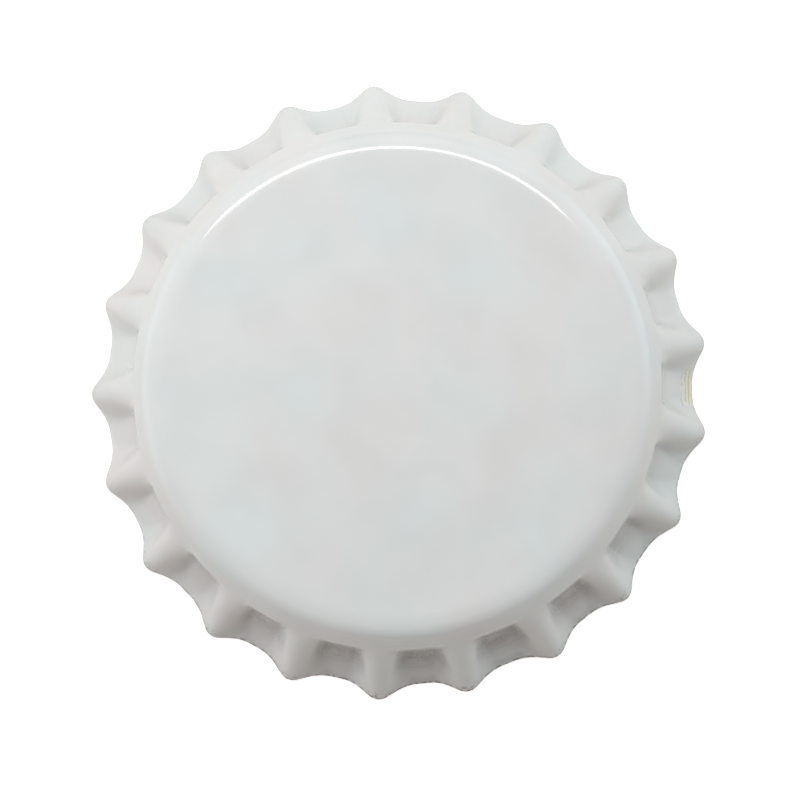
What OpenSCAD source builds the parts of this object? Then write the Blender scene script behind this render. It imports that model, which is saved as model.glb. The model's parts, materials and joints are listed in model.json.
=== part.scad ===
// Crown cap for a 26 mm bottle finish: a pressed sheet shell with 21 flutes
// and a moulded liner. Millimetres, +Z up. The cap stands on its rim at z = 0,
// with its axis on Z and the crest of one tooth on +X.

/* [Cap] */
// Height from the rim to the top of the panel
cap_h = 6; // [5.5:0.1:7.5]
// Inside diameter of the upright wall, which goes over the bottle's lip
bore_d = 26.75; // [22:0.05:32]
// Thickness of the sheet
sheet = 0.24; // [0.18:0.01:0.32]
// Outside radius of the shoulder between the panel and the wall
shoulder_r = 1.8; // [1.4:0.1:2.3]
// Length of the upright wall under the shoulder
wall_len = 0.9; // [0.4:0.1:1.1]

/* [Flutes] */
// Number of flutes round the skirt
flutes = 21; // [17:1:25]
// How far the valleys flare out past the wall, inside, at the rim
valley_out = 1.69; // [1.2:0.01:2.2]
// How far the teeth flare out past the wall, inside, at the rim
tooth_out = 2.48; // [2.2:0.01:3.2]
// Height of the tooth tips above the rim of the valleys
tooth_lift = 0.3; // [0:0.05:0.5]
// Width of a tooth, from foot to foot, where it grows out of the wall
tooth_root = 2.6; // [2:0.05:2.8]
// Inside radius of the crease between the wall and a valley's floor
crease_r = 0.5; // [0.3:0.05:0.8]
// Angle from upright at which a valley's floor leaves the crease, before it bows out
floor_lean = 6; // [4:1:14]
// Share of a tooth's side that is its round crest, at the wall
root_crest = 0.68; // [0.4:0.02:0.68]
// Share of a tooth's side that is its round foot, at the wall
root_foot = 0.25; // [0.2:0.05:0.3]
// Share of a tooth's side that is its round crest, at the rim
rim_crest = 0.14; // [0.1:0.01:0.15]
// Share of a tooth's side that is its round foot, at the rim
rim_foot = 0.84; // [0.6:0.02:0.84]
// Part of each valley that the two feet take up, at the rim
rim_valley = 0.95; // [0.8:0.05:1]

/* [Liner] */
// Thickness of the liner's middle
liner_t = 0.35; // [0.2:0.05:0.5]
// Thickness of the liner under the bottle's lip
land_t = 0.75; // [0.6:0.05:0.9]
// How far in from the wall the thin middle begins
land_in = 4.9; // [4.8:0.1:6]
// Radius of the two round sealing beads
bead_r = 0.3; // [0.2:0.05:0.4]
// How far in from the wall the inner bead lies
inner_bead_in = 4; // [3:0.1:4.4]
// How far in from the wall the outer bead lies
outer_bead_in = 1.3; // [1.2:0.1:2]
// Gap between the liner's edge and the shoulder's inside
liner_gap = 0.05; // [0.02:0.01:0.2]

/* [Hidden] */
$fn = 96;

bore_r = bore_d / 2;
ceiling = cap_h - sheet;             // underside of the panel
corner_x = bore_r + sheet - shoulder_r; // centre of the shoulder's round section
edge_x = corner_x - liner_gap;       // and of the liner's round edge
corner_z = cap_h - shoulder_r;
inner_r = shoulder_r - sheet;        // inside radius of the shoulder
lead_in = 60;                        // angle down the shoulder at which the teeth begin
knee_at = 0.45;                      // where a tooth bends, as a share of its length
seam_up = 0.14;                      // how far above that the turned top ends
seam_z = corner_z + inner_r * cos(lead_in) + seam_up;

// The meridian of a valley, on the inside of the sheet: shoulder, wall, crease and a
// floor that bows out to the rim.
wall_end = corner_z - wall_len;
crease_x = bore_r + crease_r;
function lerp(a, b, t) = a + (b - a) * t;
function clamp01(t) = max(0, min(1, t));
function deg(len, r) = len / r * 180 / PI;
function arc_len(r, angle) = r * angle * PI / 180;
function heading(angle) = [cos(angle), sin(angle)];

floor_top = [crease_x, wall_end] - crease_r * heading(floor_lean);
chord = [bore_r + valley_out, 0] - floor_top;
bow = atan2(chord[0], -chord[1]) - floor_lean;
floor_r = norm(chord) / (2 * sin(bow));
s_wall = arc_len(inner_r, 90 - lead_in);
s_crease = s_wall + wall_len;
s_floor = s_crease + arc_len(crease_r, floor_lean);
s_rim = s_floor + arc_len(floor_r, 2 * bow);

function valley(s) =
    s < s_wall ? [corner_x, corner_z] + inner_r * heading(90 - lead_in - deg(s, inner_r))
    : s < s_crease ? [bore_r, corner_z - (s - s_wall)]
    : s < s_floor ? [crease_x, wall_end] - crease_r * heading(deg(s - s_crease, crease_r))
    : floor_top + floor_r * (heading(floor_lean) - heading(floor_lean + deg(s - s_floor, floor_r)));

// The meridian of a tooth: it leaves the shoulder along the sheet and bends out to the tip.
tooth_start = valley(0);
tooth_end = [bore_r + tooth_out, tooth_lift];
tooth_knee = tooth_start + norm(tooth_end - tooth_start) * knee_at * [cos(lead_in), -sin(lead_in)];
function tooth(s) =
    let (u = s / s_rim)
    s < 0 ? valley(s)
    : (1 - u) * (1 - u) * tooth_start + 2 * u * (1 - u) * tooth_knee + u * u * tooth_end;

// Height of a tooth's side at x from its crest: a round crest, a straight flank and a
// round foot, all tangent. crest and root are shares of the largest radii that fit.
function flank(x, h, foot, crest, root) =
    let (both = (foot * foot + h * h) / (2 * h), rc = crest * both, rf = root * both,
         slope = atan2(h - rc - rf, foot) + asin((rc + rf) / norm([foot, h - rc - rf])),
         crest_end = rc * sin(slope), foot_start = foot - rf * sin(slope))
    x < crest_end ? h - rc + sqrt(rc * rc - x * x)
    : x < foot_start ? h - rc * (1 - cos(slope)) - (x - crest_end) * tan(slope)
    : x < foot ? rf - sqrt(rf * rf - (foot - x) * (foot - x))
    : 0;

// Share of the way from the valley to the tooth, at the angle a from the crest.
least_h = 0.001; // a tooth's height where it begins
spread = 2.2;    // how late the feet spread into the valley
function share(s, a) =
    let (v = valley(s), t = tooth(s),
         h = max(least_h, t[0] - v[0]),
         mid = (t[0] + v[0]) / 2,
         q = clamp01((s - s_crease) / (s_rim - s_crease)),
         foot = lerp(tooth_root / 2, rim_valley * mid * PI / flutes, pow(q, spread)),
         crest = lerp(root_crest, rim_crest, q),
         root = lerp(root_foot, rim_foot, q * q))
    flank(mid * abs(a) * PI / 180, h, foot, crest, root) / h;

function on_sheet(s, a, crown) =
    let (p = lerp(valley(s), tooth(s), share(s, a)))
    [p[0] * cos(crown + a), p[0] * sin(crown + a), p[1]];

function unit(v) = v / norm(v);
near_s = 0.004; // the two short steps over which the sheet's slope is taken
near_a = 0.02;
function outward(s, a, crown) =
    let (ds = on_sheet(s + near_s, a, crown) - on_sheet(s - near_s, a, crown),
         da = on_sheet(s, a + near_a, crown) - on_sheet(s, a - near_a, crown))
    unit(cross(ds, da));

// Stations down the sheet, and angles across a flute, closer together at the crest.
steps = 6;
crowd = 1.3;
floor_steps = 4;
stations = [0, s_wall * 0.5, s_wall, s_crease, s_floor,
            for (k = [1:floor_steps]) lerp(s_floor, s_rim, k / floor_steps)];
angles = [for (k = [0:flutes - 1], j = [-steps:steps - 1])
    [k * 360 / flutes, sign(j) * pow(abs(j) / steps, crowd) * 180 / flutes]];
n = len(angles);

bore_stock = 0.03; // left on the wall's inside for the bore to cut true
tongue = 0.2;      // how far the skirt reaches into the turned top
tongue_in = 0.03;  // and how much thinner it is there, on each side

function sheet_in(s) = s >= s_wall && s <= s_crease ? -bore_stock : 0;
skin_in = [for (s = stations, g = angles)
    let (p = on_sheet(s, g[1], g[0]), o = outward(s, g[1], g[0])) p + sheet_in(s) * o];
skin_out = [for (s = stations, g = angles)
    on_sheet(s, g[1], g[0]) + sheet * outward(s, g[1], g[0])];
tongue_in_pts = [for (g = angles)
    on_sheet(-tongue, g[1], g[0]) + tongue_in * outward(-tongue, g[1], g[0])];
tongue_out_pts = [for (g = angles)
    on_sheet(-tongue, g[1], g[0]) + (sheet - tongue_in) * outward(-tongue, g[1], g[0])];

module skirt() {
    rows = len(stations) + 1;
    points = concat(tongue_out_pts, skin_out, tongue_in_pts, skin_in);
    function at(side, row, col) = side * rows * n + row * n + col % n;
    outside = [for (r = [0:rows - 2], c = [0:n - 1])
        each [[at(0, r, c), at(0, r, c + 1), at(0, r + 1, c + 1)],
              [at(0, r, c), at(0, r + 1, c + 1), at(0, r + 1, c)]]];
    inside = [for (r = [0:rows - 2], c = [0:n - 1])
        each [[at(1, r, c), at(1, r + 1, c + 1), at(1, r, c + 1)],
              [at(1, r, c), at(1, r + 1, c), at(1, r + 1, c + 1)]]];
    ends = [for (c = [0:n - 1])
        each [[at(0, 0, c), at(1, 0, c), at(1, 0, c + 1)],
              [at(0, 0, c), at(1, 0, c + 1), at(0, 0, c + 1)],
              [at(0, rows - 1, c), at(0, rows - 1, c + 1), at(1, rows - 1, c + 1)],
              [at(0, rows - 1, c), at(1, rows - 1, c + 1), at(1, rows - 1, c)]]];
    polyhedron(points, concat(outside, inside, ends), convexity = 8);
}

module top() {
    rotate_extrude() {
        translate([0, ceiling]) square([corner_x, sheet]);
        intersection() {
            translate([corner_x, corner_z]) difference() {
                circle(shoulder_r);
                circle(inner_r);
            }
            translate([corner_x, seam_z]) square([shoulder_r, cap_h - seam_z]);
        }
    }
}

module shell() {
    color("#d8dad8")
        difference() {
            union() {
                top();
                skirt();
            }
            translate([0, 0, wall_end - wall_len]) cylinder(h = 2 * wall_len, r = bore_r);
        }
}

module liner() {
    land_z = ceiling - land_t;
    color("#cdd1cb")
        rotate_extrude() {
            difference() {
                intersection() {
                    translate([0, land_z]) square([bore_r, land_t]);
                    union() {
                        square([edge_x, ceiling]);
                        translate([edge_x, corner_z]) circle(inner_r);
                    }
                }
                translate([0, land_z]) square([bore_r - land_in, land_t - liner_t]);
            }
            for (x = [inner_bead_in, outer_bead_in])
                translate([bore_r - x, land_z]) circle(bead_r);
        }
}

shell();
liner();
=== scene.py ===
# %% [markdown]
# # A crown cap for a bottle
#
# The cap starts as a flat round blank of tinned steel, 0.24 mm thick, with white
# lacquer stoved on its outside and a gold varnish on its inside. One stroke of a
# press draws the flat panel and the round shoulder and folds the skirt into 21
# flutes. A soft sealing disc is then moulded under the panel. So there are two
# pieces: a shell of one sheet, and a liner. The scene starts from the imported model,
# which holds their real size and place.

# %% Load the frame
import json
import math
import random

import bmesh
import bpy
from mathutils import Matrix, Vector


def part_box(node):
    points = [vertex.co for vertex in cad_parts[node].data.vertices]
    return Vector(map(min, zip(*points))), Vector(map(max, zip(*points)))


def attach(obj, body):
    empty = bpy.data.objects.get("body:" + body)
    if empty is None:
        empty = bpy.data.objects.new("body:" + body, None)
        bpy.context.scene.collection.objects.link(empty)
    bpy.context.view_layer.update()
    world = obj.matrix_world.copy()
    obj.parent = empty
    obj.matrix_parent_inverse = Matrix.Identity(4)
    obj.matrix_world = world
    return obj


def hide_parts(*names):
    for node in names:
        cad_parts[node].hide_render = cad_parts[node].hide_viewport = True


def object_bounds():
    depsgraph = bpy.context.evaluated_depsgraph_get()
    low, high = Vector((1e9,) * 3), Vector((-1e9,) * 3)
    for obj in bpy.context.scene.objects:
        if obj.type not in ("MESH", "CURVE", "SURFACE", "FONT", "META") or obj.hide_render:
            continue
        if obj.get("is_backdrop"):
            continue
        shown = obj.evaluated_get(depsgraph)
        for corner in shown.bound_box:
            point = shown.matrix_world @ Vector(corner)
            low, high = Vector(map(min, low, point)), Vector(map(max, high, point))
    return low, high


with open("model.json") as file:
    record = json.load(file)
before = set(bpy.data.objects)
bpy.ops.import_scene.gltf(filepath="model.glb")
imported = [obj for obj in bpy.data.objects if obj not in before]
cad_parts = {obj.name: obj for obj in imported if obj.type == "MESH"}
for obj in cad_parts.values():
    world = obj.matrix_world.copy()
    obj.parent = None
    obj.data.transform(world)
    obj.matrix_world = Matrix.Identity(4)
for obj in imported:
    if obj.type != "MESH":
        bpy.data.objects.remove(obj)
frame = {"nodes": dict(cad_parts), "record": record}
cad_box = [list(corner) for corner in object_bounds()]
print("nodes:", sorted(frame["nodes"]))

# %% [markdown]
# ## Driving sizes
#
# Blender works in metres here, and a cap is measured in millimetres, so each size of
# its shape is written in millimetres and times MM. The height and the bore are read
# from the frame. The others are the press tool's own sizes. All but the three that
# give the shoulder its closer shape are the same as in the model, so that the finer
# meshes made below fill the same space.

# %% Driving sizes
MM = 0.001
finish_mount = next(m for m in frame["record"]["mounts"] if m["name"] == "bottle_finish")
cap_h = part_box("shell")[1].z
bore_r = finish_mount["dims"]["r_mm"] * MM
SHEET = 0.24 * MM
SHOULDER_R = 1.8 * MM
EASE_R, EASE_TILT, BEND_R = 3.7 * MM, math.radians(10), 1.1 * MM
WALL_LEN = 0.9 * MM
FLUTES = 21
VALLEY_OUT = 1.69 * MM
TOOTH_OUT = 2.48 * MM
TOOTH_LIFT = 0.3 * MM
TOOTH_ROOT = 2.6 * MM
CREASE_R = 0.5 * MM
FLOOR_LEAN = math.radians(6)
ROOT_CREST, ROOT_FOOT = 0.68, 0.25
RIM_CREST, RIM_FOOT = 0.14, 0.84
RIM_VALLEY = 0.95
LEAD_IN = math.radians(60)
TOOTH_KNEE = 0.45
FOOT_WIDENS = 2.2
pitch = 2 * math.pi / FLUTES
print(f"height {cap_h / MM:.2f} mm, bore {2 * bore_r / MM:.2f} mm, {FLUTES} flutes")

# %% [markdown]
# ## The line of the sheet
#
# Cut the cap through its axis and the sheet is a single line. Through a valley it
# runs round the shoulder, down a short upright wall, over a small crease and out to
# the rim, bowing a little. Through a tooth it leaves the shoulder without a crease
# and bends gently out. Both were straight radii of the flat blank, so they should be
# about as long as each other, and here the tooth's line comes out 2 % the shorter.
# Each is a function of s, the length down a valley in metres, so that one value of s
# finds the same row of the sheet on both.

# %% Where each stretch of the line starts
corner_x = bore_r + SHEET - SHOULDER_R
corner_z = cap_h - SHOULDER_R
ceiling = cap_h - SHEET
inner_r = SHOULDER_R - SHEET
wall_end = corner_z - WALL_LEN
crease_x = bore_r + CREASE_R
floor_top_x = crease_x - CREASE_R * math.cos(FLOOR_LEAN)
floor_top = Vector((floor_top_x, wall_end - CREASE_R * math.sin(FLOOR_LEAN)))
floor_chord = Vector((bore_r + VALLEY_OUT, 0)) - floor_top
floor_bow = math.atan2(floor_chord.x, -floor_chord.y) - FLOOR_LEAN
floor_r = floor_chord.length / (2 * math.sin(floor_bow))
s_wall = inner_r * (math.pi / 2 - LEAD_IN)
s_crease = s_wall + WALL_LEN
s_floor = s_crease + CREASE_R * FLOOR_LEAN
s_rim = s_floor + floor_r * 2 * floor_bow
print(f"valleys bow by {math.degrees(2 * floor_bow):.1f} degrees, skirt is {s_rim / MM:.2f} mm long")


# %% The two lines, on the inside of the sheet
def lerp(a, b, t):
    return a + (b - a) * t


def heading(angle):
    return Vector((math.cos(angle), math.sin(angle)))


def valley(s):
    if s < s_wall:
        return Vector((corner_x, corner_z)) + inner_r * heading(math.pi / 2 - LEAD_IN - s / inner_r)
    if s < s_crease:
        return Vector((bore_r, corner_z - (s - s_wall)))
    if s < s_floor:
        return Vector((crease_x, wall_end)) - CREASE_R * heading((s - s_crease) / CREASE_R)
    floor_centre = floor_top + floor_r * heading(FLOOR_LEAN)
    return floor_centre - floor_r * heading(FLOOR_LEAN + (s - s_floor) / floor_r)


tooth_start = valley(0)
tooth_end = Vector((bore_r + TOOTH_OUT, TOOTH_LIFT))
knee_len = TOOTH_KNEE * (tooth_end - tooth_start).length
tooth_knee = tooth_start + knee_len * heading(-LEAD_IN)


def tooth(s):
    u = s / s_rim
    return (1 - u) ** 2 * tooth_start + 2 * u * (1 - u) * tooth_knee + u * u * tooth_end


tooth_line = [tooth(s_rim * i / 200) for i in range(201)]
tooth_len = sum((after - before).length for before, after in zip(tooth_line, tooth_line[1:]))
print(f"tooth line {tooth_len / MM:.2f} mm, valley line {s_rim / MM:.2f} mm")
print("tooth tip", [round(v / MM, 2) for v in tooth_end])
print("valley end", [round(v / MM, 2) for v in valley(s_rim)])

# %% [markdown]
# ### The shoulder, seen closely
#
# In the model the shoulder is one round of 1.8 mm. A real one is less even, and the
# gloss shows it: the panel eases over the edge of the punch in a wide round, bends
# in a tight one, and runs straight down to the lead-in. The three parts below end at
# the same point and the same slope as the single round, and the sheet is never more
# than a tenth of a millimetre from it.

# %% The shoulder in three parts
ease_r, bend_r = EASE_R - SHEET, BEND_R - SHEET
ease_drop = ease_r * (1 - math.cos(EASE_TILT)) + bend_r * (math.cos(EASE_TILT) - math.cos(LEAD_IN))
straight = (inner_r * (1 - math.cos(LEAD_IN)) - ease_drop) / math.sin(LEAD_IN)
bend_centre = valley(0) - straight * heading(-LEAD_IN) - bend_r * heading(math.pi / 2 - LEAD_IN)
ease_centre = bend_centre + (bend_r - ease_r) * heading(math.pi / 2 - EASE_TILT)
s_bend = -straight - bend_r * (LEAD_IN - EASE_TILT)
s_shoulder = s_bend - ease_r * EASE_TILT


def shoulder(s):
    """From the panel's edge at s_shoulder to the lead-in at 0."""
    if s < s_bend:
        return ease_centre + ease_r * heading(math.pi / 2 - (s - s_shoulder) / ease_r)
    if s < -straight:
        return bend_centre + bend_r * heading(math.pi / 2 - EASE_TILT - (s - s_bend) / bend_r)
    return valley(0) + s * heading(-LEAD_IN)


print("panel ends at", [round(v / MM, 3) for v in shoulder(s_shoulder)])
print("straight", round(straight / MM, 3), "mm long")

# %% [markdown]
# ## Across a flute
#
# Seen from above, the side of a tooth is two round arcs, one over the crest and one in
# the foot, with a short straight between them and no corner. At the wall a tooth is
# narrow, its crest is the larger round, and the floor beside it is flat. At the rim
# the foot is the larger, the feet of two teeth nearly meet, and the valley is almost
# one wide arc. `share` says how far a point has moved from the line of the valley (0)
# to the line of the tooth (1).


# %% The round crest and foot of a tooth
LEAST_HEIGHT = 1e-6


def flank(x, height, foot, crest, root):
    both = (foot * foot + height * height) / (2 * height)
    crest_r, foot_r = crest * both, root * both
    arcs = crest_r + foot_r
    slope = math.atan2(height - arcs, foot) + math.asin(arcs / math.hypot(foot, height - arcs))
    crest_end, foot_start = crest_r * math.sin(slope), foot - foot_r * math.sin(slope)
    if x < crest_end:
        return height - crest_r + math.sqrt(crest_r**2 - x * x)
    if x < foot_start:
        return height - crest_r * (1 - math.cos(slope)) - (x - crest_end) * math.tan(slope)
    if x < foot:
        return foot_r - math.sqrt(foot_r**2 - (foot - x) ** 2)
    return 0.0


def along(s):
    return max(0.0, min(1.0, (s - s_crease) / (s_rim - s_crease)))


def share(s, angle):
    low, high = valley(s), tooth(s)
    height = max(LEAST_HEIGHT, high.x - low.x)
    middle = (high.x + low.x) / 2
    q = along(s)
    foot = lerp(TOOTH_ROOT / 2, RIM_VALLEY * middle * pitch / 2, q**FOOT_WIDENS)
    crest, root = lerp(ROOT_CREST, RIM_CREST, q), lerp(ROOT_FOOT, RIM_FOOT, q * q)
    return flank(middle * abs(angle), height, foot, crest, root) / height


print("share at the rim, crest to valley:", [round(share(s_rim, pitch / 8 * i), 2) for i in range(5)])

# %% [markdown]
# ## The shell
#
# The shell could be carved as a solid, but a press works on a sheet, and so does
# this: one skin with no thickness, laid out as a grid of rows down the sheet and
# columns across the flutes, and a Solidify modifier that gives it the thickness of
# the steel. The modifier also sets a second material for the inside and a third
# for the sheared edge.
#
# No press tool is perfect, so each tooth stands a hair short, and all but the first
# stand a hair to one side, from a seeded draw that is the same on every run. A low
# ridge also runs along the top of each valley, where the wall starts. It is taken to
# be the mark of the ring that holds the panel down, and the model doesn't have it.

# %% Columns, and the draw for each tooth
COLUMNS_PER_SIDE = 16
CROWDING = 1.3
SWAY = math.radians(0.35)
SHORT, LEAST_SHORT = 0.07 * MM, 0.2

draw = random.Random(21)
sway = [draw.uniform(-SWAY, SWAY) for _ in range(FLUTES)]
short = [draw.uniform(LEAST_SHORT, 1) * SHORT for _ in range(FLUTES)]
sway[0] = 0.0

columns = []
for k in range(FLUTES):
    for j in range(-COLUMNS_PER_SIDE, COLUMNS_PER_SIDE):
        a = math.copysign((abs(j) / COLUMNS_PER_SIDE) ** CROWDING, j) * pitch / 2
        columns.append((k, a))
print(len(columns), "columns, teeth short by up to", round(max(short) / MM, 3), "mm")

# %% Rows, closer together over the ridge
EASE_ROWS, BEND_ROWS = 8, 14
RIDGE_S, RIDGE_HALF, RIDGE_H = 0.28 * MM, 0.16 * MM, 0.035 * MM
RIDGE_STEPS = (-1, -0.6, -0.3, 0, 0.3, 0.6, 1)
ABOVE_RIDGE, BELOW_RIDGE = 0.1 * MM, (0.52 * MM, 0.67 * MM)
SKIRT_ROWS = [(s_wall, s_crease, 4), (s_crease, s_floor, 5), (s_floor, s_rim, 18)]

rows = [lerp(s_shoulder, s_bend, i / EASE_ROWS) for i in range(EASE_ROWS)]
rows += [lerp(s_bend, -straight, i / BEND_ROWS) for i in range(BEND_ROWS)]
rows += [-straight, -straight / 2, 0.0, ABOVE_RIDGE]
rows += [RIDGE_S + RIDGE_HALF * step for step in RIDGE_STEPS]
rows += [*BELOW_RIDGE, s_wall]
for start, end, count in SKIRT_ROWS:
    rows += [lerp(start, end, (i + 1) / count) for i in range(count)]
print(len(rows), "rows")


# %% One point of the skin
def ridge(s, w):
    if abs(s - RIDGE_S) > RIDGE_HALF:
        return 0.0
    return RIDGE_H * math.cos((s - RIDGE_S) / RIDGE_HALF * math.pi / 2) ** 2 * (1 - w) ** 2


def skin_point(s, k, a):
    if s < 0:
        (r, z), w = shoulder(s), 0.0
    else:
        w = share(s, a)
        raised = ridge(s, w) * heading(math.pi / 2 - LEAD_IN - s / inner_r)
        r, z = valley(s).lerp(tooth(s), w) + raised
    near_crest = max(0.0, 1 - (2 * a / pitch) ** 2) ** 2 * along(s)
    r -= short[k] * near_crest
    around = k * pitch + a + sway[k] * near_crest
    return Vector((r * math.cos(around), r * math.sin(around), z)), w


print("a valley at the rim:", [round(v / MM, 2) for v in skin_point(s_rim, 0, pitch / 2)[0]])

# %% [markdown]
# ### Where the shell is used
#
# Dirt, wear and painted shade have places. The top of a valley, where a wall and two
# flanks meet, is painted a shade darker, most on the side that faces away from the
# light, and real dust grains sit there too. The teeth rub against other caps in the
# hopper, and one valley is scraped, as a guide rail might do. These places are worked
# out for each point of the skin and kept on it as attributes, which the lacquer reads:
# the length left to the rim in millimetres, how much painted shade and dust, rubbing,
# chipping, scrape and stain there is.

# %% Places of wear and painted shade
# The valley-top attribute is mostly painted shade: it darkens the tops of the valleys, most on the side
# away from the light, and it also places the real dust grains.
SHADED_SIDE = math.radians(290)
DUST_AND_SHADE_TOP, DUST_AND_SHADE_FULL, DUST_AND_SHADE_LOW, DUST_AND_SHADE_END = 5.1, 4.8, 3.0, 0.0
DUST_AND_SHADE_GATHERS = 1.2
RUB_END, RUB_FULL, RUB_ELSEWHERE = 0.9, 0.1, 0.35
CHIP_END, CHIP_FULL, CHIP_ELSEWHERE = 0.2, 0.1, 0.3
SCRAPE_AT, SCRAPE_HALF = math.radians(8.57), 1.3 * MM
STAIN_END, STAIN_FULL = 1.2, 0.6
WEAR = ("to_rim", "dust_and_shade", "rub", "chip", "scrape", "stain")


def smooth(low, high, value):
    t = max(0.0, min(1.0, (value - low) / (high - low)))
    return t * t * (3 - 2 * t)


def wear(point, s, w):
    """The six attributes of a point at length s on the sheet, with a share w of the tooth."""
    left = (s_rim - s) / MM
    around = math.atan2(point.y, point.x)
    facing = max(0.0, math.cos(around - SHADED_SIDE))
    dust_and_shade_zone = smooth(DUST_AND_SHADE_TOP, DUST_AND_SHADE_FULL, left) * smooth(DUST_AND_SHADE_END, DUST_AND_SHADE_LOW, left)
    dust_and_shade = facing**DUST_AND_SHADE_GATHERS * dust_and_shade_zone * max(0.0, 1 - w)
    rub = smooth(RUB_END, RUB_FULL, left) * max(0.0, w) ** 2 * lerp(RUB_ELSEWHERE, 1, facing)
    chip = smooth(CHIP_END, CHIP_FULL, left) * lerp(CHIP_ELSEWHERE, 1, facing)
    off = math.remainder(around - SCRAPE_AT, 2 * math.pi) * bore_r / SCRAPE_HALF
    scrape = math.cos(off * math.pi / 2) if abs(off) < 1 else 0.0
    return left, dust_and_shade, rub, chip, scrape, scrape * smooth(STAIN_END, STAIN_FULL, left)


print("wear attributes:", ", ".join(WEAR))

# %% Lay out the skin
PANEL_LIP = 0.25 * MM
bm = bmesh.new()
layers = [bm.verts.layers.float.new(name) for name in WEAR]


def add_vert(point, s, w):
    vert = bm.verts.new(point)
    for layer, value in zip(layers, wear(point, s, w)):
        vert[layer] = value
    return vert


lip = []
for k, a in columns:
    flat = (shoulder(s_shoulder).x - PANEL_LIP) * heading(k * pitch + a)
    lip.append(add_vert(Vector((flat.x, flat.y, ceiling)), s_shoulder - PANEL_LIP, 0.0))
grid = [lip]
for s in rows:
    grid.append([])
    for k, a in columns:
        point, w = skin_point(s, k, a)
        grid[-1].append(add_vert(point, s, w))

bm.faces.new(lip)
for upper, lower in zip(grid, grid[1:]):
    for i in range(len(columns)):
        j = (i + 1) % len(columns)
        bm.faces.new((upper[i], lower[i], lower[j], upper[j]))
for face in bm.faces:
    face.smooth = True
for edge in bm.edges:
    edge.smooth = not edge.is_boundary
bm.normal_update()
skin = bpy.data.meshes.new("crown_skin")
bm.to_mesh(skin)
bm.free()
crown = bpy.data.objects.new("crown", skin)
bpy.context.scene.collection.objects.link(crown)
print("skin:", len(skin.vertices), "points,", len(skin.polygons), "faces")

# %% Give the skin the thickness of the steel
thicken = crown.modifiers.new("sheet", "SOLIDIFY")
thicken.thickness = SHEET
thicken.offset = 1
thicken.use_even_offset = True
thicken.use_quality_normals = True
thicken.material_offset = 1
thicken.material_offset_rim = 2
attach(crown, "root")
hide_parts("shell")
print("sheet", thicken.thickness / MM, "mm thick")

# %% [markdown]
# ## The liner
#
# The liner is a shot of soft polyethylene that a punch moulds against the panel.
# It is thin in the middle, thick under the bottle's lip, and has two round beads
# that bite on the glass. It is round about the axis, so it is turned: one closed
# line from the axis, along the panel, down the shoulder's inside, back over the
# beads and the step, and spun in a ring of copies. The punch has no sharp corners,
# so the step has a small round at its edge and in its corner.

# %% The line of the liner
LINER_GAP = 0.05 * MM
LINER_T, LAND_T = 0.35 * MM, 0.75 * MM
BEAD_R = 0.3 * MM
OUTER_BEAD_IN, INNER_BEAD_IN, LAND_IN = 1.3 * MM, 4.0 * MM, 4.9 * MM
STEP_ROUND = 0.12 * MM
ROUND_STEPS, SMALL_ROUND_STEPS = 14, 5

edge_x = corner_x - LINER_GAP
land_z = ceiling - LAND_T
step_x = bore_r - LAND_IN


def arc(centre, radius, start, end, count):
    """Points on an arc, from one angle to the other, in degrees."""
    angles = [math.radians(lerp(start, end, i / count)) for i in range(count + 1)]
    return [Vector(centre) + radius * heading(angle) for angle in angles]


edge_low = math.degrees(math.asin((land_z - corner_z) / inner_r))
liner_line = [Vector((edge_x / 2, ceiling))]
liner_line += arc((edge_x, corner_z), inner_r, 90, edge_low, ROUND_STEPS)
for inward in (OUTER_BEAD_IN, INNER_BEAD_IN):
    liner_line += arc((bore_r - inward, land_z), BEAD_R, 0, -180, ROUND_STEPS)
edge_round = (step_x + STEP_ROUND, land_z + STEP_ROUND)
corner_round = (step_x - STEP_ROUND, ceiling - LINER_T - STEP_ROUND)
liner_line += arc(edge_round, STEP_ROUND, 270, 180, SMALL_ROUND_STEPS)
liner_line += arc(corner_round, STEP_ROUND, 0, 90, SMALL_ROUND_STEPS)
widest = max(point.x for point in liner_line)
print("liner line of", len(liner_line), "points, widest", round(widest / MM, 2), "mm")

# %% Turn it
LINER_STEPS = 168
SMOOTH_BELOW = math.radians(40)
bm = bmesh.new()
top = bm.verts.new((0, 0, ceiling))
middle = bm.verts.new((0, 0, ceiling - LINER_T))
rings = []
for r, z in liner_line:
    turns = [heading(2 * math.pi * i / LINER_STEPS) for i in range(LINER_STEPS)]
    rings.append([bm.verts.new((r * t.x, r * t.y, z)) for t in turns])
for i in range(LINER_STEPS):
    j = (i + 1) % LINER_STEPS
    bm.faces.new((top, rings[0][i], rings[0][j]))
    bm.faces.new((middle, rings[-1][j], rings[-1][i]))
    for upper, lower in zip(rings, rings[1:]):
        bm.faces.new((upper[i], lower[i], lower[j], upper[j]))
for face in bm.faces:
    face.smooth = True
for edge in bm.edges:
    edge.smooth = edge.calc_face_angle(0) < SMOOTH_BELOW
disc_mesh = bpy.data.meshes.new("liner_disc")
bm.to_mesh(disc_mesh)
bm.free()
disc = bpy.data.objects.new("liner_disc", disc_mesh)
bpy.context.scene.collection.objects.link(disc)
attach(disc, "root")
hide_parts("liner")
print("liner disc:", len(disc_mesh.polygons), "faces")

# %% [markdown]
# ## Colour and nodes
#
# Colours are written as the hex values that a paint chart gives, and turned to the
# linear values that Blender works with. One helper adds a node: it sets the node's
# own settings, and each input gets either a plain value or a link. A noise stays near
# the middle of its range, and the two spreads open that out to run from 0 to 1.


# %% Colour and node helpers
SPREAD = {"From Min": 0.35, "From Max": 0.65}
WIDE_SPREAD = {"From Min": 0.3, "From Max": 0.7}


def paint(hex_code):
    parts = [int(hex_code[i : i + 2], 16) / 255 for i in (1, 3, 5)]
    return tuple(c / 12.92 if c <= 0.04045 else ((c + 0.055) / 1.055) ** 2.4 for c in parts) + (1.0,)


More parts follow.
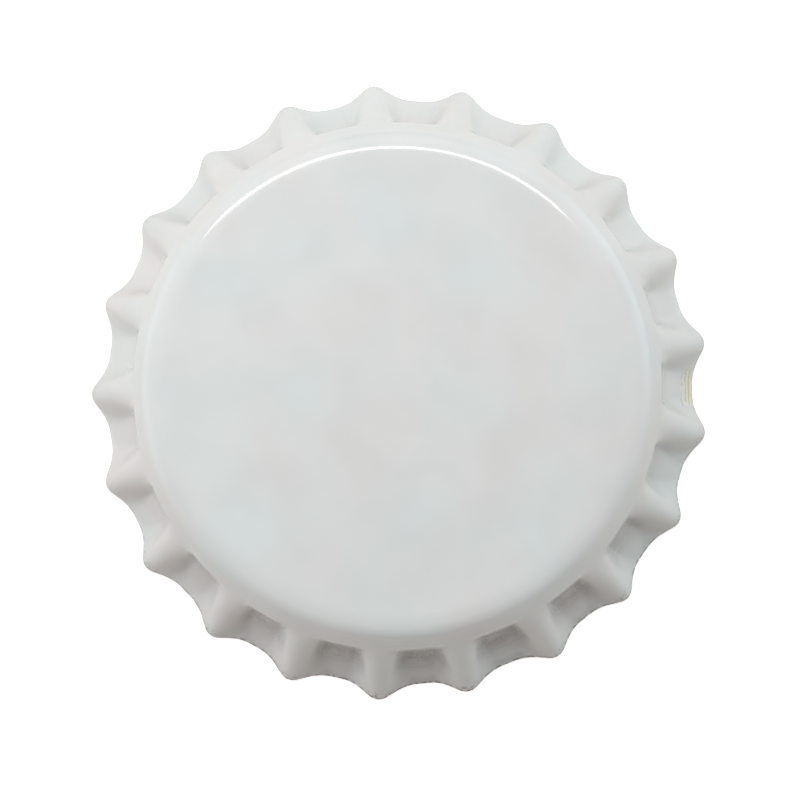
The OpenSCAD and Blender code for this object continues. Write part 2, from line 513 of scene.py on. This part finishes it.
def add(tree, kind, inputs=None, **settings):
    new = tree.nodes.new(kind)
    for name, value in settings.items():
        setattr(new, name, value)
    for name, value in (inputs or {}).items():
        if isinstance(value, bpy.types.NodeSocket):
            tree.links.new(value, new.inputs[name])
        else:
            new.inputs[name].default_value = value
    return new


def new_material(name):
    material = bpy.data.materials.new(name)
    material.use_nodes = True
    material.node_tree.nodes.clear()
    return material, material.node_tree


print("lacquer white is", [round(c, 3) for c in paint("#d3d5d3")[:3]])

# %% [markdown]
# ## White stoving lacquer
#
# The blank's outside is roller-coated with white lacquer and stoved, flat, before
# the press forms it. So it is a hard gloss over a white that is not quite even: it
# has soft clouds a few millimetres across, a faint warm and cold drift, and an
# orange peel about a millimetre wide and a micron high. Two more changes of the
# white are painted light: the white is made lighter toward the side the light comes
# from, and the shoulder and the skirt are painted a shade darker than the panel.
# A Principled shader with the IOR of a resin, 1.5, gives the gloss. The mix nodes
# work on its colour in order: painted light across the cap, clouds, painted shade
# below the panel, drift, then what use has added.

# %% Lacquer: painted light across the cap, and the clouds
enamel, tree = new_material("white_stoving_lacquer_on_tinplate")
PAINTED_LIGHT_SIDE, PAINTED_LIGHT_REACH = math.radians(128), 13 * MM
CLOUD_SIZE, DRIFT_SIZE = 3.3 * MM, 5 * MM
SKIRT_SHADE_FROM, SKIRT_SHADE_OVER = 0.4, 0.9
skirt_shade_start = (s_rim - s_shoulder) / MM - SKIRT_SHADE_FROM

here = {name: add(tree, "ShaderNodeAttribute", attribute_name=name).outputs["Fac"] for name in WEAR}

place = add(tree, "ShaderNodeTexCoord").outputs["Object"]
# Painted light: the white is made lighter across the whole cap toward the back, the side the light comes
# from.
toward_light = heading(PAINTED_LIGHT_SIDE)
across = {0: place, 1: (toward_light.x, toward_light.y, 0)}
across = add(tree, "ShaderNodeVectorMath", across, operation="DOT_PRODUCT")
painted_light = add(
    tree,
    "ShaderNodeMapRange",
    {"Value": across.outputs["Value"], "From Min": -PAINTED_LIGHT_REACH, "From Max": PAINTED_LIGHT_REACH},
    interpolation_type="SMOOTHSTEP",
)
white = add(
    tree,
    "ShaderNodeMix",
    {"Factor": painted_light.outputs["Result"], 6: paint("#d3d4d3"), 7: paint("#dedfde")},
    data_type="RGBA",
).outputs[2]
cloud = add(
    tree, "ShaderNodeTexNoise", {"Vector": place, "Scale": 1 / CLOUD_SIZE, "Detail": 3.0}
).outputs["Fac"]
cloud = add(tree, "ShaderNodeMapRange", {"Value": cloud, **SPREAD}).outputs["Result"]
clouded = add(
    tree,
    "ShaderNodeMix",
    {"Factor": cloud, 6: white, 7: paint("#fafafa")},
    data_type="RGBA",
    blend_type="MULTIPLY",
).outputs[2]
# Painted shade: a little past the panel's edge, the shoulder and the skirt are made a shade darker, so
# the flat panel reads lighter, as if lit from above.
painted_skirt_shade = add(
    tree,
    "ShaderNodeMapRange",
    {"Value": here["to_rim"], "From Min": skirt_shade_start, "From Max": skirt_shade_start - SKIRT_SHADE_OVER},
    interpolation_type="SMOOTHSTEP",
).outputs["Result"]
skirt_shaded = add(
    tree,
    "ShaderNodeMix",
    {"Factor": painted_skirt_shade, 6: clouded, 7: paint("#fbfbfb")},
    data_type="RGBA",
    blend_type="MULTIPLY",
).outputs[2]
drift = add(
    tree, "ShaderNodeTexNoise", {"Vector": place, "Scale": 1 / DRIFT_SIZE, "Detail": 1.0}
).outputs["Fac"]
drift = add(tree, "ShaderNodeMapRange", {"Value": drift, **SPREAD}).outputs["Result"]
tint = add(
    tree,
    "ShaderNodeMix",
    {"Factor": drift, 6: paint("#fffcfb"), 7: paint("#fbfffe")},
    data_type="RGBA",
).outputs[2]
# This white carries the painted light and the painted shade below the panel.
white_with_painted_light = add(
    tree, "ShaderNodeMix", {"Factor": 1.0, 6: skirt_shaded, 7: tint}, data_type="RGBA", blend_type="MULTIPLY"
).outputs[2]
print("clouds", CLOUD_SIZE / MM, "mm, drift", DRIFT_SIZE / MM, "mm")

# %% [markdown]
# ### What use has added, and painted shade
#
# A film of painted shade darkens the tops of the valleys, most on the side away
# from the light, and real dust lies there in grains about 0.1 mm across.
# Along the rim the shear has broken the lacquer, and the bare edge shows as a thin
# dotted line. The tips of the teeth are rubbed, and the scraped valley has three
# thin wavy lines, with a yellow stain round them. Each is one row of a table, and
# each row mixes one more colour over the last: where an attribute is strong, and
# there only in the grains of a noise.

# %% Lacquer: the three scraped lines
LINES_AT, LINE_HALF = (0.9, 0.6, 0.34), 0.03
WAVE_SIZE, WAVE_HEIGHT = 0.5 * MM, 0.12

wave = add(
    tree, "ShaderNodeTexNoise", {"Vector": place, "Scale": 1 / WAVE_SIZE, "Detail": 1.0}
).outputs["Fac"]
wave = add(
    tree, "ShaderNodeMath", {0: wave, 1: WAVE_HEIGHT, 2: here["to_rim"]}, operation="MULTIPLY_ADD"
).outputs[0]
lines = 0.0
for at in LINES_AT:
    line = add(tree, "ShaderNodeMath", {0: wave, 1: at, 2: LINE_HALF}, operation="COMPARE").outputs[0]
    lines = add(tree, "ShaderNodeMath", {0: lines, 1: line}, operation="MAXIMUM").outputs[0]
scraped = {0: lines, 1: here["scrape"]}
here["scrape"] = add(tree, "ShaderNodeMath", scraped, operation="MULTIPLY").outputs[0]
print("lines at", LINES_AT, "mm from the rim")

# %% Lacquer: the table of use
USE = [  # attribute, from, to, grain in mm, from, to, strength, colour
    # The first row is a film of painted shade in the tops of the valleys; the third row puts dark dust
    # grains there.
    ("dust_and_shade", 0.0, 1.0, 0.9, -0.2, 0.7, 0.55, "#85807e"),
    ("stain", 0.0, 1.0, 0.7, 0.2, 0.55, 0.7, "#d8d3bb"),
    ("dust_and_shade", 0.3, 1.0, 0.12, 0.57, 0.67, 0.6, "#5a5350"),
    ("chip", 0.1, 0.8, 0.25, 0.44, 0.54, 0.75, "#6a5f58"),
    ("rub", 0.0, 0.8, 0.18, 0.54, 0.62, 0.7, "#7d7671"),
    ("scrape", 0.0, 0.6, 0.35, 0.38, 0.5, 0.9, "#b9ab7c"),
]
used, dull = white_with_painted_light, 0.0
for name, low, high, size, light, dark, strength, colour in USE:
    spot = add(tree, "ShaderNodeTexNoise", {"Vector": place, "Scale": 1 / (size * MM), "Detail": 2.0})
    amount = strength
    for source, start, end in ((here[name], low, high), (spot.outputs["Fac"], light, dark)):
        ramp = add(
            tree,
            "ShaderNodeMapRange",
            {"Value": source, "From Min": start, "From Max": end},
            interpolation_type="SMOOTHSTEP",
        )
        both = {0: ramp.outputs["Result"], 1: amount}
        amount = add(tree, "ShaderNodeMath", both, operation="MULTIPLY").outputs[0]
    used = add(
        tree, "ShaderNodeMix", {"Factor": amount, 6: used, 7: paint(colour)}, data_type="RGBA"
    ).outputs[2]
    dull = add(tree, "ShaderNodeMath", {0: dull, 1: amount}, operation="MAXIMUM").outputs[0]
print(len(USE), "kinds of use")

# %% Lacquer: gloss and peel
GLOSS, DULL, RESIN_IOR = 0.08, 0.8, 1.5
dulled = add(tree, "ShaderNodeMath", {0: dull, 1: DULL, 2: GLOSS}, operation="MULTIPLY_ADD").outputs[0]
PEEL_SIZE, PEEL_HEIGHT = 1.1 * MM, 0.0015 * MM
peel = add(
    tree, "ShaderNodeTexNoise", {"Vector": place, "Scale": 1 / PEEL_SIZE, "Detail": 1.0}
).outputs["Fac"]
peel = add(
    tree, "ShaderNodeBump", {"Height": peel, "Distance": PEEL_HEIGHT, "Strength": 1.0}
).outputs["Normal"]
shader = add(
    tree,
    "ShaderNodeBsdfPrincipled",
    {"Base Color": used, "Roughness": dulled, "IOR": RESIN_IOR, "Normal": peel},
)
add(tree, "ShaderNodeOutputMaterial", {"Surface": shader.outputs[0]})
print("orange peel", PEEL_SIZE / MM, "mm wide,", PEEL_HEIGHT / MM * 1000, "microns high")

# %% [markdown]
# ## Gold varnish, and the sheared edge
#
# Inside, the tin is only varnished, with a clear gold resin that keeps the drink off
# the metal. The eye sees the metal through it: a soft golden shine, with fine
# straight streaks from the mill's rollers. The streaks are a noise that is stretched
# 25 times along one direction of the sheet. Rolling marks are a few hundredths of a
# millimetre wide, and they are drawn about four times as coarse, so that they show.
# The sheared edge is bare steel, dull, with short marks from the blanking die across
# the thickness.

# %% Gold varnish
STREAK_W, STREAK_L, STREAK_DEPTH = 0.12 * MM, 3 * MM, 0.0008 * MM
VARNISH_DULL, STREAK_SHINE = 0.4, -0.12
varnish, tree = new_material("gold_varnish_on_rolled_tinplate")
place = add(tree, "ShaderNodeTexCoord").outputs["Object"]
stretch = (1 / STREAK_W, 1 / STREAK_L, 1 / STREAK_W)
rolled = add(tree, "ShaderNodeVectorMath", {0: place, 1: stretch}, operation="MULTIPLY").outputs[0]
streaks = add(tree, "ShaderNodeTexNoise", {"Vector": rolled, "Scale": 1.0, "Detail": 3.0}).outputs["Fac"]
streaks = add(tree, "ShaderNodeMapRange", {"Value": streaks, **WIDE_SPREAD}).outputs["Result"]
tint = add(
    tree, "ShaderNodeMix", {"Factor": streaks, 6: paint("#b99a56"), 7: paint("#cdb478")}, data_type="RGBA"
)
dull = {0: streaks, 1: STREAK_SHINE, 2: VARNISH_DULL}
dull = add(tree, "ShaderNodeMath", dull, operation="MULTIPLY_ADD")
grain = add(tree, "ShaderNodeBump", {"Height": streaks, "Distance": STREAK_DEPTH, "Strength": 1.0})
shader = add(
    tree,
    "ShaderNodeBsdfPrincipled",
    {
        "Base Color": tint.outputs[2],
        "Metallic": 1.0,
        "Roughness": dull.outputs[0],
        "Normal": grain.outputs["Normal"],
    },
)
add(tree, "ShaderNodeOutputMaterial", {"Surface": shader.outputs[0]})
print("streaks", STREAK_W / MM, "by", STREAK_L / MM, "mm")

# %% Sheared edge
SHEAR_W, SHEAR_L = 0.06 * MM, 0.6 * MM
EDGE_DULL, MARK_SHINE = 0.5, -0.1
edge_steel, tree = new_material("sheared_tinplate")
place = add(tree, "ShaderNodeTexCoord").outputs["Object"]
marks = (1 / SHEAR_W, 1 / SHEAR_W, 1 / SHEAR_L)
marks = add(tree, "ShaderNodeVectorMath", {0: place, 1: marks}, operation="MULTIPLY").outputs[0]
marks = add(tree, "ShaderNodeTexNoise", {"Vector": marks, "Scale": 1.0, "Detail": 2.0}).outputs["Fac"]
marks = add(tree, "ShaderNodeMapRange", {"Value": marks, **SPREAD}).outputs["Result"]
tint = add(
    tree, "ShaderNodeMix", {"Factor": marks, 6: paint("#77716a"), 7: paint("#9a948c")}, data_type="RGBA"
)
dull = add(tree, "ShaderNodeMath", {0: marks, 1: MARK_SHINE, 2: EDGE_DULL}, operation="MULTIPLY_ADD")
shader = add(
    tree,
    "ShaderNodeBsdfPrincipled",
    {"Base Color": tint.outputs[2], "Metallic": 1.0, "Roughness": dull.outputs[0]},
)
add(tree, "ShaderNodeOutputMaterial", {"Surface": shader.outputs[0]})
for material in (enamel, varnish, edge_steel):
    skin.materials.append(material)
print("shear marks", SHEAR_W / MM, "mm wide")

# %% [markdown]
# ## Moulded polyethylene
#
# The liner is low-density polyethylene: waxy, slightly see-through, and off-white.
# Light goes a little way into it, so it gets a small subsurface part, with a radius
# of about its own thickness. The punch was turned on a lathe, and its tool marks are
# on the disc as fine rings. They are rings of a wave texture, 0.35 mm apart, which
# is about three times as coarse as a real tool mark, so that they show.

# %% Polyethylene
TURN_MARK, TURN_DEPTH = 0.35 * MM, 0.002 * MM
WAVES_PER_TURN = 20
HAZE_SIZE = 2.5 * MM
LINER_DULL, HAZE_SHINE, LINER_IOR = 0.46, -0.08, 1.51
LIGHT_INSIDE, LIGHT_DEPTH = 0.15, 0.5 * MM
liner_mat, tree = new_material("moulded_polyethylene")
place = add(tree, "ShaderNodeTexCoord").outputs["Object"]
haze = add(
    tree, "ShaderNodeTexNoise", {"Vector": place, "Scale": 1 / HAZE_SIZE, "Detail": 3.0}
).outputs["Fac"]
haze = add(tree, "ShaderNodeMapRange", {"Value": haze, **SPREAD}).outputs["Result"]
tint = add(
    tree, "ShaderNodeMix", {"Factor": haze, 6: paint("#cfd2cc"), 7: paint("#d6d8d2")}, data_type="RGBA"
)
# A wave texture repeats WAVES_PER_TURN times over 2 pi units of its scale.
rings = add(
    tree,
    "ShaderNodeTexWave",
    {"Vector": place, "Scale": 2 * math.pi / WAVES_PER_TURN / TURN_MARK},
    wave_type="RINGS",
    rings_direction="Z",
)
turned = add(
    tree, "ShaderNodeBump", {"Height": rings.outputs["Fac"], "Distance": TURN_DEPTH, "Strength": 1.0}
)
dull = add(tree, "ShaderNodeMath", {0: haze, 1: HAZE_SHINE, 2: LINER_DULL}, operation="MULTIPLY_ADD")
shader = add(
    tree,
    "ShaderNodeBsdfPrincipled",
    {
        "Base Color": tint.outputs[2],
        "Roughness": dull.outputs[0],
        "IOR": LINER_IOR,
        "Subsurface Weight": LIGHT_INSIDE,
        "Subsurface Radius": (1.0, 0.9, 0.8),
        "Subsurface Scale": LIGHT_DEPTH,
        "Normal": turned.outputs["Normal"],
    },
)
add(tree, "ShaderNodeOutputMaterial", {"Surface": shader.outputs[0]})
disc_mesh.materials.append(liner_mat)
print("turning marks", TURN_MARK / MM, "mm apart")

# %% [markdown]
# ## Camera
#
# The cap lies on its rim and is seen from almost straight above, from 300 mm away,
# through a long lens. The camera leans by a few degrees, so that a little more of
# the near teeth shows. The view is turned so that one tooth points nine degrees up
# from the right. The lens is chosen so that 41.7 mm fits across the picture at the
# height of the rim.

# %% Camera
TOOTH_UP = math.radians(9.07)
VIEW_TURN = pitch - TOOTH_UP
CAMERA_BACK = 300 * MM
LEAN_NEAR, LEAN_RIGHT = math.radians(4.0), math.radians(1.67)
FIELD = 41.67 * MM
AIM = Vector((0.022, -0.426, 0)) * MM
CLIP = (0.01, 10)

turn = Matrix.Rotation(VIEW_TURN, 3, "Z")
aim = turn @ AIM
toward = (turn @ Vector((math.sin(LEAN_RIGHT), -math.sin(LEAN_NEAR), 1))).normalized()
right = (turn @ Vector((0, 1, 0))).cross(toward).normalized()
stance = Matrix((right, toward.cross(right), toward)).transposed().to_4x4()
camera_data = bpy.data.cameras.new("camera")
camera = bpy.data.objects.new("camera", camera_data)
bpy.context.scene.collection.objects.link(camera)
camera.matrix_world = Matrix.Translation(aim + toward * CAMERA_BACK) @ stance
camera_data.lens = camera_data.sensor_width * CAMERA_BACK / FIELD
camera_data.clip_start, camera_data.clip_end = CLIP
bpy.context.scene.camera = camera
print("lens", round(camera_data.lens), "mm")

# %% [markdown]
# ## Floor
#
# The floor is a sheet of pale paper. A camera ray finds it near white, and so does a
# ray through glass. Gloss mirrors it more weakly, and less still close to the cap,
# where the cap shades it: the Ambient Occlusion node gives that. Its matte part takes
# the cap's soft shadow and throws light back up into the flutes. Paper fibres about
# half a millimetre long give it a faint fleck.

# %% Floor
FLOOR_HALF = 2.0
FIBRE_SIZE = 0.5 * MM
SEEN_WHITE, MIRRORED_WHITE = 0.75, 0.30
SHADE_REACH, SHADE_RAYS = 12 * MM, 8

floor_mesh = bpy.data.meshes.new("floor")
bm = bmesh.new()
bmesh.ops.create_grid(bm, x_segments=1, y_segments=1, size=FLOOR_HALF)
bm.to_mesh(floor_mesh)
bm.free()
floor = bpy.data.objects.new("floor", floor_mesh)
bpy.context.scene.collection.objects.link(floor)

paper, tree = new_material("pale_paper")
path = add(tree, "ShaderNodeLightPath")
seen = add(
    tree,
    "ShaderNodeMath",
    {0: path.outputs["Is Camera Ray"], 1: path.outputs["Is Transmission Ray"]},
    operation="MAXIMUM",
)
seen = add(tree, "ShaderNodeMath", {0: seen.outputs[0], 1: SEEN_WHITE}, operation="MULTIPLY")
shade = add(tree, "ShaderNodeAmbientOcclusion", {"Distance": SHADE_REACH}, samples=SHADE_RAYS)
glossy = add(
    tree,
    "ShaderNodeMath",
    {0: path.outputs["Is Glossy Ray"], 1: shade.outputs["AO"]},
    operation="MULTIPLY",
)
mirrored = add(tree, "ShaderNodeMath", {0: glossy.outputs[0], 1: MIRRORED_WHITE}, operation="MULTIPLY")
strength = {0: seen.outputs[0], 1: mirrored.outputs[0]}
strength = add(tree, "ShaderNodeMath", strength, operation="MAXIMUM")
glow = add(tree, "ShaderNodeEmission", {"Color": paint("#ffffff"), "Strength": strength.outputs[0]})
place = add(tree, "ShaderNodeTexCoord").outputs["Object"]
fibre = add(
    tree, "ShaderNodeTexNoise", {"Vector": place, "Scale": 1 / FIBRE_SIZE, "Detail": 2.0}
).outputs["Fac"]
fibre = add(tree, "ShaderNodeMapRange", {"Value": fibre, **WIDE_SPREAD}).outputs["Result"]
tint = add(
    tree,
    "ShaderNodeMix",
    {"Factor": fibre, 6: paint("#dad0c8"), 7: paint("#ded4cc")},
    data_type="RGBA",
)
matte = add(tree, "ShaderNodeBsdfDiffuse", {"Color": tint.outputs[2]})
both = add(tree, "ShaderNodeAddShader", {0: glow.outputs[0], 1: matte.outputs[0]})
add(tree, "ShaderNodeOutputMaterial", {"Surface": both.outputs[0]})
floor_mesh.materials.append(paper)
floor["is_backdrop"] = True
print("floor", floor.name)

# %% [markdown]
# ## Light
#
# The light is soft and comes from behind: wide soft boxes on the left, on the right
# and overhead, and a weak warm fill from the rest of the room, so the near side of
# the skirt stays darker. Each box is a round glow in the world, a power of the cosine
# to its middle: a small power is a wide box, and a large one is a tight one. The
# bright line on the far shoulder is a long thin lamp that the gloss mirrors.


# %% World
def from_view(polar, around):
    """The direction that lies polar degrees down from overhead, at an angle round the view."""
    polar, around = math.radians(polar), math.radians(around)
    side = math.sin(polar) * heading(around)
    return turn @ Vector((side.x, side.y, math.cos(polar)))


SOFT_BOXES = {  # degrees down from overhead, degrees round, tightness, colour, power
    "left_wall": (85, 180, 2, "#faf8f8", 1.5),
    "back_left": (72, 165, 6, "#d0f0ff", 0.8),
    "back_right": (72, 28, 4, "#e2f6ff", 1.95),
    "right_wall": (85, 0, 2, "#fff6ee", 0.5),
    "back_top": (30, 105, 8, "#fffdfa", 1.58),
}
FILL_COLOUR, FILL = "#ffd8d0", 0.08

world = bpy.data.worlds.new("studio")
bpy.context.scene.world = world
world.use_nodes = True
tree = world.node_tree
tree.nodes.clear()
looking = add(tree, "ShaderNodeTexCoord").outputs["Generated"]
sky = add(tree, "ShaderNodeBackground", {"Color": paint(FILL_COLOUR), "Strength": FILL}).outputs[0]
for name, (polar, around, tight, colour, power) in SOFT_BOXES.items():
    facing = add(
        tree, "ShaderNodeVectorMath", {0: looking, 1: from_view(polar, around)}, operation="DOT_PRODUCT"
    )
    near = add(tree, "ShaderNodeMath", {0: facing.outputs["Value"], 1: 0.0}, operation="MAXIMUM")
    lobe = add(tree, "ShaderNodeMath", {0: near.outputs[0], 1: tight}, operation="POWER")
    level = {0: lobe.outputs[0], 1: power}
    level = add(tree, "ShaderNodeMath", level, operation="MULTIPLY", name=name)
    box = add(tree, "ShaderNodeBackground", {"Color": paint(colour), "Strength": level.outputs[0]})
    sky = add(tree, "ShaderNodeAddShader", {0: sky, 1: box.outputs[0]}).outputs[0]
backdrop = add(tree, "ShaderNodeBackground", {"Color": paint("#ffffff"), "Strength": 1.0})
path = add(tree, "ShaderNodeLightPath")
seen = add(
    tree,
    "ShaderNodeMath",
    {0: path.outputs["Is Camera Ray"], 1: path.outputs["Is Transmission Ray"]},
    operation="MAXIMUM",
)
pick = add(tree, "ShaderNodeMixShader", {0: seen.outputs[0], 1: sky, 2: backdrop.outputs[0]})
add(tree, "ShaderNodeOutputWorld", {"Surface": pick.outputs[0]})
print("soft boxes:", ", ".join(SOFT_BOXES))


# %% Lamp
def lamp(name, polar, around, distance, size, energy, roll):
    """A soft box that faces the cap. Its size is along and across, and roll turns it."""
    data = bpy.data.lights.new(name, "AREA")
    data.shape = "RECTANGLE"
    data.size, data.size_y = size
    data.energy = energy
    obj = bpy.data.objects.new(name, data)
    bpy.context.scene.collection.objects.link(obj)
    away = from_view(polar, around)
    sideways = turn @ Vector((1, 0, 0))
    sideways = (sideways - away * away.dot(sideways)).normalized()
    sideways = Matrix.Rotation(math.radians(roll), 3, away) @ sideways
    facing = Matrix((sideways, away.cross(sideways), away)).transposed().to_4x4()
    obj.matrix_world = Matrix.Translation(away * distance) @ facing
    return obj


strip = lamp(
    "strip", polar=19.3, around=105.6, distance=0.62, size=(0.327, 0.032), energy=0.55, roll=-8
)
print("strip lamp at", [round(v, 2) for v in strip.location])

# %% Render settings
bpy.context.scene.view_settings.view_transform = "Standard"

# %% [markdown]
# ## Sizes, and finish
#
# The finer meshes must fill the same space as the model, so both boxes are printed
# side by side.

# %% Sizes, and finish
visual_box = [list(corner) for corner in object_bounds()]
for name, box in (("cad", cad_box), ("visual", visual_box)):
    print(name, [[round(v / MM, 3) for v in corner] for corner in box])
